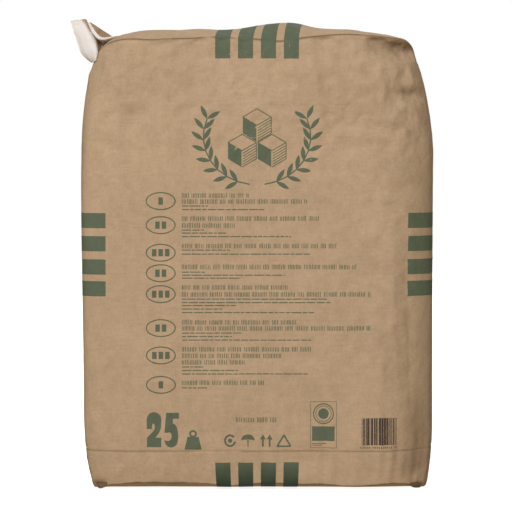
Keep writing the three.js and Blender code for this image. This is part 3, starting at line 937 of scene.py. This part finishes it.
def fine_line(rng, x, z, end, height):
    """A line of small print as one short dash for each word."""
    grids = []
    while x < end - LAST_DASH:
        wide = min(rng.uniform(*DASHES), end - x)
        grids.append(bar(x, x + wide, z, z + height))
        x += wide + DASH_GAP
    return grids


def text_blocks():
    rng = np.random.default_rng(TEXT_SEED)
    grids = []
    for height, marks, lines, fine_lines in TEXT_BLOCKS:
        grids.append(ring((RING_X, height), RING_RADII, RING_WIDTH))
        for mark in range(marks):
            x = RING_X + (mark - (marks - 1) / 2) * MARK_PITCH
            foot, head = height - MARK_HALF_HEIGHT, height + MARK_HALF_HEIGHT
            grids.append(bar(x - MARK_HALF_WIDTH, x + MARK_HALF_WIDTH, foot, head))
        for foot, end in lines:
            grids += text_line(rng, TEXT_FROM, foot, end, TEXT_HEIGHT)
        for foot, end in fine_lines:
            grids += fine_line(rng, TEXT_FROM, foot, end, FINE_HEIGHT)
    return grids + text_line(rng, *LONE_LINE)


def band(outer, inner, count=CURVE_POINTS):
    """Ink between two smooth curves."""
    return grid_between(spline(outer, count), spline(inner, count))


def number_25():
    """The two heavy, narrow figures of the net weight."""
    two = band(
        [(-129.2, 73.8), (-129.2, 86), (-126.6, 91.3), (-121, 93.7), (-114.9, 91.3), (-112.5, 86.9),
         (-112.3, 79.1), (-113.4, 72.3), (-116.3, 67.4), (-119.3, 63.5)],
        [(-123.2, 73.8), (-123, 78.2), (-122.4, 79.9), (-121.7, 80.3), (-120.8, 79.9), (-120.1, 78.6),
         (-119.7, 75.7), (-120.6, 72.5), (-124.6, 67.9), (-129, 63.5)],
    )
    foot = bar(-129, -112.3, 52.3, 63.6)
    stem = band([(-106.4, 93), (-108.6, 69.4)], [(-98.3, 93), (-99.1, 70)], STRAIGHT_POINTS)
    top = bar(-106.4, -91.5, 86, 93)
    bowl = band(
        [(-103.7, 80.1), (-98.8, 80.6), (-94.9, 77.2), (-92.8, 69.4), (-92.8, 60.6), (-94.9, 54.8),
         (-100.8, 51.9), (-106.1, 54.3), (-109, 60.6)],
        [(-108.4, 69.4), (-106.4, 70.4), (-103.7, 70.6), (-101.2, 69.1), (-100.2, 65.5), (-100.8, 61.8),
         (-103.2, 59.8), (-106.4, 59.9), (-108.9, 60.8)],
    )
    return [two, foot, stem, top, bowl]


def weight_mark():
    body = grid_between(dense([(-85, 49.5), (-81.5, 64.5)]), dense([(-65, 49.5), (-68.5, 64.5)]))
    return [body, ring((-75, 68.2), (4.6, 4.4), 2.2)]


def handling_marks():
    """A ring, an umbrella, two arrows up and a triangle, as on many packs."""
    umbrella = grid_between(ellipse((-10.6, 60), (8, 7.5), 180, 0), ellipse((-10.6, 60), (8, 1.5), 180, 0))
    arrows = []
    for x in (6.8, 14.8):
        tip = (x, 67.5)
        arrows.append(stroke([(x, 53), (x, 62)], 2))
        arrows.append(grid_between(dense([(x - 3.4, 61.5), tip]), dense([(x + 3.4, 61.5), tip])))
    corners = [(23.6, 53.2), (31.5, 66.6), (39.4, 53.2), (23.6, 53.2)]
    sides = [stroke(side, 1.8) for side in zip(corners, corners[1:])]
    marks = [ring((-31.6, 60), (7, 7.4), 2.2, 40, 350), ring((-31.6, 60), (2.6, 2.6), 2.5)]
    return marks + [umbrella, stroke([(-10.6, 61), (-10.6, 53)], 1.2)] + arrows + sides


def box_outline(x0, x1, z0, z1, width):
    corners = [(x0, z0), (x1, z0), (x1, z1), (x0, z1), (x0, z0)]
    return [stroke(side, width) for side in zip(corners, corners[1:])]


def quality_box():
    """A ruled box with a plain seal over a plain field."""
    grids = box_outline(62.8, 93.2, 51.6, 106.2, 0.45)
    for radius, width in ((12.2, 1.2), (9.4, 0.7), (6.2, 6.1)):
        grids.append(ring((77.8, 92), (radius, radius), width))
    return grids + [bar(64.5, 90.8, 59.8, 77), bar(65, 81, 56.2, 56.9), bar(65, 76, 54.2, 54.9)]


def bar_code():
    rng = np.random.default_rng(BAR_CODE_SEED)
    grids = []
    x, last, end = BAR_CODE_X
    bar_unit, *bar_counts = BAR_CODE_BARS
    gap_unit, *gap_counts = BAR_CODE_GAPS
    while x < last:
        wide = bar_unit * rng.integers(*bar_counts)
        grids.append(bar(x, min(x + wide, end), *BAR_CODE_Z))
        x += wide + gap_unit * rng.integers(*gap_counts)
    return grids + text_line(rng, *BAR_CODE_FIGURES)


class InkSheet:
    """Collects grids of ink laid on the sack's surface."""

    def __init__(self, sack):
        self.sack = sack
        self.normals = sack.normals()
        self.points, self.facing, self.faces = [], [], []
        self.count = 0

    def lay(self, chart, column, row):
        """Adds one grid, given as real columns and rows of a chart of the sack's vertices."""
        i = np.clip(column.astype(int), 0, chart.shape[0] - 2)
        k = np.clip(row.astype(int), 0, chart.shape[1] - 2)
        a, b = (column - i)[..., None], (row - k)[..., None]

        def between(values):
            low = values[chart[i, k]] * (1 - a) + values[chart[i + 1, k]] * a
            high = values[chart[i, k + 1]] * (1 - a) + values[chart[i + 1, k + 1]] * a
            return low * (1 - b) + high * b

        facing = between(self.normals).reshape(-1, 3)
        facing /= np.linalg.norm(facing, axis=1, keepdims=True)
        points = between(self.sack.points).reshape(-1, 3) + INK_LIFT * facing
        faces = quads(np.arange(column.size).reshape(column.shape))
        corners = points[faces]
        outward = np.cross(corners[:, 2] - corners[:, 0], corners[:, 3] - corners[:, 1])
        if (outward * facing[faces[:, 0]]).sum() < 0:
            faces = faces[:, ::-1]
        self.points.append(points)
        self.facing.append(facing)
        self.faces.append(faces + self.count)
        self.count += column.size

    def print_front(self, grids):
        chart = self.sack.belt()
        for grid in grids:
            self.lay(chart, *self.sack.face_place(grid[..., 0], grid[..., 1]))

    def print_end_bars(self, back):
        """The bars that run off both ends of the tube and on over the folded flaps."""
        sack, chart = self.sack, self.sack.belt(back)
        shown = 1 - FLAP_SHARE if back else 1 + FLAP_SHARE
        past = np.linspace(0, shown, FLAP_ROWS)[:, None]
        for middle in BAR_PLACES:
            for z, top, lean in ((TOP_BARS_FROM, True, TOP_BARS_LEAN), (BOTTOM_BARS_TO, False, 0)):
                x = middle + BAR_WIDTH * np.linspace(-0.5, 0.5, BAR_COLUMNS)
                columns, first = sack.face_place(x, np.full_like(x, z), back)
                across = np.interp(columns, np.arange(len(sack.u)), sack.u)
                shift = past / shown * (-lean if back else lean) / HALF_WIDTH
                over_columns, over_rows = sack.end_place(across + shift, past, top, back)
                rows = first + (over_rows[0] - first) * np.linspace(0, 1, WALL_ROWS)[:-1, None]
                columns = np.concatenate([np.broadcast_to(columns, rows.shape), over_columns])
                self.lay(chart, columns, np.concatenate([rows, over_rows]))

    def print_side_bars(self, side):
        """The bars that run round a narrow side from the printed face to the back."""
        sack = self.sack
        chart = np.concatenate([sack.ring, sack.ring])
        across, deep = len(sack.u) - 1, len(sack.v) - 1
        middle = across + deep / 2 if side > 0 else 2 * across + 1.5 * deep
        for height in SIDE_BARS:
            z = np.linspace(height, height + SIDE_BAR_HEIGHT, SIDE_BAR_ROWS)
            start, _ = sack.face_place(side * SIDE_BARS_FROM + 0 * z, z)
            reach = abs((start if side > 0 else start + len(sack.ring)) - middle)
            share = np.linspace(-1, 1, SIDE_BAR_COLUMNS)
            column = middle + share[None, :] * reach[:, None]
            row = sack.row_of_height(z) - (len(sack.v) - 1)
            self.lay(chart, column, np.broadcast_to(row[:, None], column.shape))

    def finish(self, name, material):
        made = mesh_object(name, np.concatenate(self.points), np.concatenate(self.faces), material)
        made.data.normals_split_custom_set_from_vertices(np.concatenate(self.facing).tolist())
        return made


# The valve at the top left corner

WRINKLES = (9, 2)  # size and seed
SLEEVE_WRINKLE = 0.2
FOLD_WRINKLE = 0.3
SLEEVE_GRID = (60, 48)
VALVE_GRID = (16, 40)
BASE_FOLD_GRID = (12, 24)
SLEEVE_THICKNESS = 0.5
SLEEVE_RAILS = [
    [(-195.1, -38, 503.3), (-201.2, -38, 507.8), (-207.2, -38, 514), (-210, -39, 521.9),
     (-214.9, -39, 536.6), (-219.7, -38, 551.9)],
    [(-192.4, -44, 503.7), (-196.1, -45, 508.4), (-200.1, -46, 517.3), (-203.7, -45, 527.9),
     (-208.6, -43, 541), (-213.9, -40, 552.9)],
    [(-188.6, -48, 506.6), (-187.3, -50, 511.8), (-188, -50, 518.3), (-191.8, -47, 529),
     (-199.2, -44, 542.1), (-207.1, -41, 553.6)],
    [(-187.8, -22, 514.5), (-186.7, -20, 520.5), (-187.9, -20, 526.4), (-191.2, -24, 532.8),
     (-197.5, -28, 543.9), (-203.8, -31, 553.8)],
    [(-166.2, -26, 533.3), (-173.1, -30, 531.5), (-180, -34, 529.7), (-187.5, -36, 531.3),
     (-194, -36, 538.2), (-200.2, -36, 550)],
    [(-165.5, -27, 535.4), (-172.7, -31, 534.3), (-179.9, -35, 533), (-186, -37, 535.1),
     (-191.1, -37, 541.2), (-197.2, -37, 550.9)],
]
THROAT_THICKNESS = 0.5
THROAT_RAILS = [  # the brown paper inside the folded corner
    [(-188.3, -43, 510.3), (-189.5, -43, 520.9), (-193.3, -42, 531), (-199.7, -40, 543.2),
     (-205.7, -38, 554.5)],
    [(-187.2, -32, 513), (-186.5, -24, 523.9), (-190.1, -33, 531.2), (-197.5, -38, 543.3),
     (-203.4, -38, 554.4)],
    [(-183.5, -14, 514.7), (-176.7, -8, 528.7), (-186.5, -24, 532.7), (-195.3, -34, 542.5),
     (-201.3, -36, 554.3)],
]
EAR_THICKNESS = 0.9
EAR_RAILS = [
    [(-164.1, 4, 524.9), (-175.6, -6, 531.1), (-186.3, -16, 533.7), (-192.5, -22, 541.2),
     (-198.2, -26, 548.8)],
    [(-164.2, 6, 527.4), (-175, -5, 534.1), (-184.7, -14, 538), (-190.2, -21, 543.6), (-197.5, -26, 550.2)],
    [(-164.3, 8, 530.4), (-174.5, -4, 536.7), (-182, -12, 541.5), (-189.3, -20, 546.2),
     (-196.8, -26, 551.3)],
]

# Small flattened folds where the bottom's corners meet the printed face
BASE_FOLD_THICKNESS = 1.4
# How dark the corner folds are painted: painted shade under the corners
BASE_FOLD_PAINTED_SHADE = 1.0
BASE_FOLD_LIFT = 0.7
BASE_FOLD_FROM = -0.9
BASE_FOLDS = {  # rails as x and z on the printed side of the corner
    "base_fold_left": [
        [(-198, 7), (-192, 9), (-185, 9.5), (-176, 8.5)],
        [(-198, 4.5), (-191, 4.6), (-184, 5), (-177, 6)],
        [(-196.5, 2.4), (-190, 1.4), (-184, 1.8), (-178.5, 4)],
    ],
    "base_fold_right": [
        [(180, 7), (187, 7.5), (194, 7.5), (201.5, 6)],
        [(182, 4.6), (188, 4.2), (194, 4), (201, 3.5)],
        [(184.5, 3), (189, 1.6), (193, 1.2), (199, 1.4)],
    ],
}


def seated(sack, rail):
    """The points of the sack's printed side next to places given as x and z, a little off the paper."""
    front = np.flatnonzero(sack.at[1] < BASE_FOLD_FROM)
    near = sack.points[front]
    normals = sack.normals()[front]
    at = [np.argmin(np.hypot(near[:, 0] - x, near[:, 2] - z)) for x, z in rail]
    points = near[at] + BASE_FOLD_LIFT * normals[at]
    points[:, 2] = np.maximum(points[:, 2], BASE_FOLD_THICKNESS)
    return points


def spline(points, count):
    """Points along a smooth curve through the given ones."""
    points = np.array(points, float)
    padded = np.concatenate([[2 * points[0] - points[1]], points, [2 * points[-1] - points[-2]]])
    place = np.linspace(0, len(points) - 1, count)
    i = np.clip(place.astype(int), 0, len(points) - 2)
    t = (place - i)[:, None]
    p0, p1, p2, p3 = (padded[i + step] for step in range(4))
    square = 2 * p0 - 5 * p1 + 4 * p2 - p3
    cube = 3 * p1 - p0 - 3 * p2 + p3
    return 0.5 * (2 * p1 + (p2 - p0) * t + square * t**2 + cube * t**3)


def paper_sheet(name, rails, size, thickness, material, wrinkle):
    """A closed thin sheet over the rails, of that many columns and rows."""
    columns, rows = size
    lines = [spline(rail, rows + 1) for rail in rails]
    grid = np.stack([spline([line[j] for line in lines], columns + 1) for j in range(rows + 1)])
    normal = np.cross(np.gradient(grid, axis=1), np.gradient(grid, axis=0))
    normal /= np.linalg.norm(normal, axis=-1, keepdims=True)
    relief = crumple(grid.reshape(-1, 3), *WRINKLES).reshape(grid.shape[:2])
    grid = grid + normal * (wrinkle * relief)[..., None]
    front, back = grid + normal * thickness / 2, grid - normal * thickness / 2
    points = np.concatenate([front.reshape(-1, 3), back.reshape(-1, 3)])
    count = (rows + 1) * (columns + 1)
    numbers = np.arange(count).reshape(rows + 1, columns + 1)
    rim = np.concatenate([numbers[0], numbers[1:, -1], numbers[-1, -2::-1], numbers[-2:0:-1, 0]])
    after = np.roll(rim, -1)
    edge = np.stack([rim, rim + count, after + count, after], -1)
    faces = np.concatenate([quads(numbers), quads(numbers)[:, ::-1] + count, edge])
    return mesh_object(name, points, faces, material)


# The stage

FLOOR_REACH = (-6, 6)
FLOOR_GLOW = 0.85
FLOOR_TONES = (0.80, 0.80, 0.80, 1), (0.84, 0.84, 0.84, 1)
FLOOR_NOISE = (3, 2)
FLOOR_BUMP = 0.0001
LIGHTS_AIM_HEIGHT = 0.28
LIGHT_DISTANCE = 6
LIGHT_SIZE = 1.8
LIGHT_COLOUR = (0.97, 1, 1.05)
KEY_SIDE = (-13.5, 31)  # azimuth and elevation
KEY_POWER = 345
BACK_SIDE = (150, 40)
BACK_POWER = 160
AMBIENT_COLOUR = (1, 0.87, 0.68, 1)
AMBIENT = 0.27
FLOOR_LIGHT = 1.2  # how bright the world is straight below, like a white table
FLOOR_LIGHT_FROM = (-0.65, -0.85)  # upward parts of the directions over which it sets in


def make_stage():
    """A plain white floor that throws no light back on the sack."""
    corners = np.array([(x, y, 0) for y in FLOOR_REACH for x in FLOOR_REACH]) / MM
    shader = Shader("studio_white", Roughness=0.9, Specular_IOR_Level=0.0, Emission_Strength=FLOOR_GLOW)
    shader.surface.inputs["Emission Color"].default_value = WHITE
    tone = shader.noise(*FLOOR_NOISE)
    material = shader.finish(shader.mix(tone, *FLOOR_TONES), [(tone, FLOOR_BUMP)])
    floor = mesh_object("studio_floor", corners, quads(np.array([[0, 2], [1, 3]])), material)
    floor.visible_diffuse = floor.visible_glossy = floor.visible_shadow = False


def direction(azimuth, elevation):
    """A unit vector for two angles in degrees; azimuth 0 is the printed side, and right is positive."""
    azimuth, elevation = math.radians(azimuth), math.radians(elevation)
    level = math.cos(elevation)
    return Vector((math.sin(azimuth) * level, -math.cos(azimuth) * level, math.sin(elevation)))


def area_light(name, side, power):
    light = bpy.data.lights.new(name, "AREA")
    light.color = LIGHT_COLOUR
    light.shape = "DISK"
    light.size = LIGHT_SIZE
    light.energy = power
    made = bpy.data.objects.new(name, light)
    away = direction(*side)
    made.location = Vector((0, 0, LIGHTS_AIM_HEIGHT)) + away * LIGHT_DISTANCE
    made.rotation_euler = (-away).to_track_quat("-Z", "Y").to_euler()
    bpy.context.scene.collection.objects.link(made)


def make_world():
    """White to look at, and dimmer as a source of light."""
    world = bpy.data.worlds.new("studio")
    world.use_nodes = True
    tree = world.node_tree
    seen = add_node(tree, "ShaderNodeLightPath").outputs["Is Camera Ray"]
    way = add_node(tree, "ShaderNodeTexCoord").outputs["Generated"]
    up = add_node(tree, "ShaderNodeSeparateXYZ", {0: way}).outputs[2]
    low, high = FLOOR_LIGHT_FROM
    below = add_node(tree, "ShaderNodeMapRange", {0: up, 1: low, 2: high, 3: AMBIENT, 4: FLOOR_LIGHT})
    strength = add_node(tree, "ShaderNodeMapRange", {0: seen, 3: below.outputs[0]})
    colour = add_node(tree, "ShaderNodeMix", {0: seen, 6: AMBIENT_COLOUR, 7: WHITE}, data_type="RGBA")
    background = tree.nodes["Background"]
    tree.links.new(strength.outputs[0], background.inputs["Strength"])
    tree.links.new(colour.outputs[2], background.inputs["Color"])
    bpy.context.scene.world = world


def make_lights():
    area_light("key", KEY_SIDE, KEY_POWER)
    area_light("back", BACK_SIDE, BACK_POWER)
    make_world()
    bpy.context.scene.view_settings.view_transform = "Standard"


def make_camera():
    camera = bpy.data.cameras.new("camera")
    camera.sensor_width = SENSOR_MM
    camera.lens = SENSOR_MM * CAMERA_DISTANCE / FRAME_WIDTH
    made = bpy.data.objects.new("camera", camera)
    back = Vector((0, -math.cos(CAMERA_ELEVATION), math.sin(CAMERA_ELEVATION)))
    made.location = CAMERA_AIM + back * CAMERA_DISTANCE
    made.rotation_euler = (-back).to_track_quat("-Z", "Y").to_euler()
    bpy.context.scene.collection.objects.link(made)
    bpy.context.scene.camera = made


def make_sack(sack, kraft):
    made = mesh_object("sack_paper", sack.points, sack.faces, kraft)
    # Vertex values: painted shade along the folds, and stains with painted shade on the face and under the
    # bottom
    for name, values in (("fold_shade", fold_shade_of(sack)), ("stain_and_shade", stain_and_shade_of(sack))):
        layer = made.data.attributes.new(name, "FLOAT", "POINT")
        layer.data.foreach_set("value", values.astype(np.float32))
    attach(made, "root")
    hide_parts("sack")


def make_print(sack):
    green = InkSheet(sack)
    green.print_front(emblem() + text_blocks() + number_25() + weight_mark())
    green.print_front(handling_marks() + quality_box())
    for back in (False, True):
        green.print_end_bars(back)
    for side in (-1, 1):
        green.print_side_bars(side)
    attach(green.finish("green_print", green_ink()), "root")
    dark = InkSheet(sack)
    dark.print_front(bar_code())
    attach(dark.finish("bar_code_print", bar_code_ink()), "root")


def make_valve(kraft):
    bleached = bleached_paper()
    name = "valve_sleeve_paper"
    sleeve = paper_sheet(name, SLEEVE_RAILS, SLEEVE_GRID, SLEEVE_THICKNESS, bleached, SLEEVE_WRINKLE)
    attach(sleeve, "root")
    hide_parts("valve_sleeve")
    for name, rails, thickness in (
        ("valve_ear", EAR_RAILS, EAR_THICKNESS),
        ("valve_throat", THROAT_RAILS, THROAT_THICKNESS),
    ):
        sheet = paper_sheet(name, rails, VALVE_GRID, thickness, kraft, FOLD_WRINKLE)
        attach(sheet, "root")


def make_base_folds(sack, kraft):
    for name, rails in BASE_FOLDS.items():
        rails = [seated(sack, rail) for rail in rails]
        fold = paper_sheet(name, rails, BASE_FOLD_GRID, BASE_FOLD_THICKNESS, kraft, FOLD_WRINKLE)
        # The folds are darkened all over: painted shade under the corners
        stain_and_shade = fold.data.attributes.new("stain_and_shade", "FLOAT", "POINT")
        stain_and_shade.data.foreach_set("value", [BASE_FOLD_PAINTED_SHADE] * len(fold.data.vertices))
        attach(fold, "root")


make_camera()
make_stage()
make_lights()
sack = shape_sack()
kraft = kraft_paper()
make_sack(sack, kraft)
make_print(sack)
make_valve(kraft)
make_base_folds(sack, kraft)
